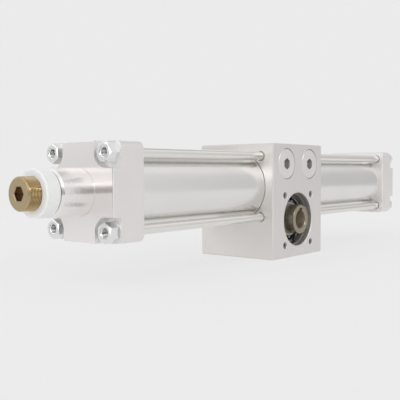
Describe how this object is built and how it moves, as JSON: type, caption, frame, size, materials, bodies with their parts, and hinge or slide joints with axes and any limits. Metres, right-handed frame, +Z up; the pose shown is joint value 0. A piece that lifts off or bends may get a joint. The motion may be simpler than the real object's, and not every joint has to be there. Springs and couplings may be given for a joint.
{
  "type": "rotary actuator",
  "caption": "Rack-and-pinion pneumatic rotary actuator: machined centre block with a keyed hollow pinion, long barrels on each side, tie-rod heads and brass stop screws.",
  "frame": {"origin": "middle of the centre block's underside", "axes": "+X along the barrels, the pinion's opening with the plugs faces -Y, +Z up"},
  "size_m": [0.7336, 0.114, 0.1368],
  "materials": {
    "block_aluminium": "milled aluminium, fine tool marks",
    "barrel_anodised": "clear anodised, satin",
    "head_aluminium": "cast and faced aluminium",
    "rod_steel": "bright zinc-plated bar",
    "nut_zinc": "bright zinc plate",
    "collar_white": "white acetal",
    "screw_brass": "turned brass",
    "bumper_rubber": "polyurethane",
    "seal_rubber": "nitrile rubber",
    "pinion_steel": "oiled steel with a brown tint",
    "rack_steel": "ground steel",
    "screw_steel": "blackened steel",
    "stud_steel": "turned steel",
    "roller_steel": "ground steel",
    "bush_bronze": "sintered bronze",
    "piston_aluminium": "turned aluminium",
    "wear_band_plastic": "bronze-filled PTFE",
    "bearing_steel": "ground bearing steel",
    "ball_steel": "polished bearing steel",
    "cage_steel": "machined steel",
    "circlip_steel": "phosphated spring steel"
  },
  "bodies": {
    "housing": {"centre_block": "block_aluminium", "front_bearing_outer_ring": "bearing_steel", "front_circlip": "circlip_steel", "rear_bearing_outer_ring": "bearing_steel", "rear_circlip": "circlip_steel", "left_barrel": "barrel_anodised", "left_barrel_gasket": "seal_rubber", "left_head": "head_aluminium", "left_head_o_ring": "seal_rubber", "left_tie_rods": "rod_steel", "left_tie_rod_nuts": "nut_zinc", "left_tie_rod_washers": "nut_zinc", "left_lock_collar": "collar_white", "left_roller_stud": "stud_steel", "right_barrel": "barrel_anodised", "right_barrel_gasket": "seal_rubber", "right_head": "head_aluminium", "right_head_o_ring": "seal_rubber", "right_tie_rods": "rod_steel", "right_tie_rod_nuts": "nut_zinc", "right_tie_rod_washers": "nut_zinc", "right_lock_collar": "collar_white", "right_roller_stud": "stud_steel"},
    "output_pinion": {"pinion": "pinion_steel", "front_bearing_inner_ring": "bearing_steel", "rear_bearing_inner_ring": "bearing_steel"},
    "rack_and_pistons": {"rack": "rack_steel", "left_piston": "piston_aluminium", "left_piston_seals": "seal_rubber", "left_piston_wear_band": "wear_band_plastic", "left_piston_screw": "screw_steel", "right_piston": "piston_aluminium", "right_piston_seals": "seal_rubber", "right_piston_wear_band": "wear_band_plastic", "right_piston_screw": "screw_steel"},
    "front_ball_set": {"front_bearing_balls": "ball_steel", "front_bearing_cage": "cage_steel"},
    "rear_ball_set": {"rear_bearing_balls": "ball_steel", "rear_bearing_cage": "cage_steel"},
    "left_roller": {"left_guide_roller": "roller_steel", "left_roller_bush": "bush_bronze"},
    "left_stop_pad": {"left_stop_bumper": "bumper_rubber"},
    "left_stop": {"left_stop_screw": "screw_brass", "left_stop_screw_o_ring": "seal_rubber"},
    "right_roller": {"right_guide_roller": "roller_steel", "right_roller_bush": "bush_bronze"},
    "right_stop_pad": {"right_stop_bumper": "bumper_rubber"},
    "right_stop": {"right_stop_screw": "screw_brass", "right_stop_screw_o_ring": "seal_rubber"}
  },
  "joints": [
    {"name": "pinion_turn", "type": "hinge", "parent": "housing", "child": "output_pinion", "pos_m": [0, 0, 0.04525], "axis": [0, 1, 0], "range_deg": [-180, 180]},
    {"name": "rack_slide", "type": "slide", "parent": "housing", "child": "rack_and_pistons", "axis": [1, 0, 0], "range_m": [-0.0802, 0.0802]},
    {"name": "front_ball_set_turn", "type": "hinge", "parent": "housing", "child": "front_ball_set", "pos_m": [0, 0, 0.04525], "axis": [0, 1, 0], "range_deg": [-75.5, 75.5]},
    {"name": "rear_ball_set_turn", "type": "hinge", "parent": "housing", "child": "rear_ball_set", "pos_m": [0, 0, 0.04525], "axis": [0, 1, 0], "range_deg": [-75.5, 75.5]},
    {"name": "left_roller_turn", "type": "hinge", "parent": "housing", "child": "left_roller", "pos_m": [-0.0265, 0, 0.113], "axis": [0, 1, 0], "range_deg": [-383, 383]},
    {"name": "left_stop_advance", "type": "slide", "parent": "housing", "child": "left_stop_pad", "axis": [-1, 0, 0], "range_m": [0, 0.00605]},
    {"name": "left_stop_turn", "type": "hinge", "parent": "left_stop_pad", "child": "left_stop", "pos_m": [-0.36677, 0, 0.086], "axis": [-1, 0, 0], "range_deg": [0, 1440]},
    {"name": "right_roller_turn", "type": "hinge", "parent": "housing", "child": "right_roller", "pos_m": [0.0265, 0, 0.113], "axis": [0, 1, 0], "range_deg": [-383, 383]},
    {"name": "right_stop_advance", "type": "slide", "parent": "housing", "child": "right_stop_pad", "axis": [1, 0, 0], "range_m": [0, 0.00605]},
    {"name": "right_stop_turn", "type": "hinge", "parent": "right_stop_pad", "child": "right_stop", "pos_m": [0.36677, 0, 0.086], "axis": [1, 0, 0], "range_deg": [0, 1440]}
  ],
  "couplings": [
    {"joint": "rack_slide", "follows": "pinion_turn", "m_per_rad": 0.0255},
    {"joint": "front_ball_set_turn", "follows": "pinion_turn", "ratio": 0.41818},
    {"joint": "rear_ball_set_turn", "follows": "pinion_turn", "ratio": 0.41818},
    {"joint": "left_roller_turn", "follows": "pinion_turn", "ratio": -2.125},
    {"joint": "left_stop_advance", "follows": "left_stop_turn", "m_per_rad": 0.00023873},
    {"joint": "right_roller_turn", "follows": "pinion_turn", "ratio": -2.125},
    {"joint": "right_stop_advance", "follows": "right_stop_turn", "m_per_rad": 0.00023873}
  ]
}
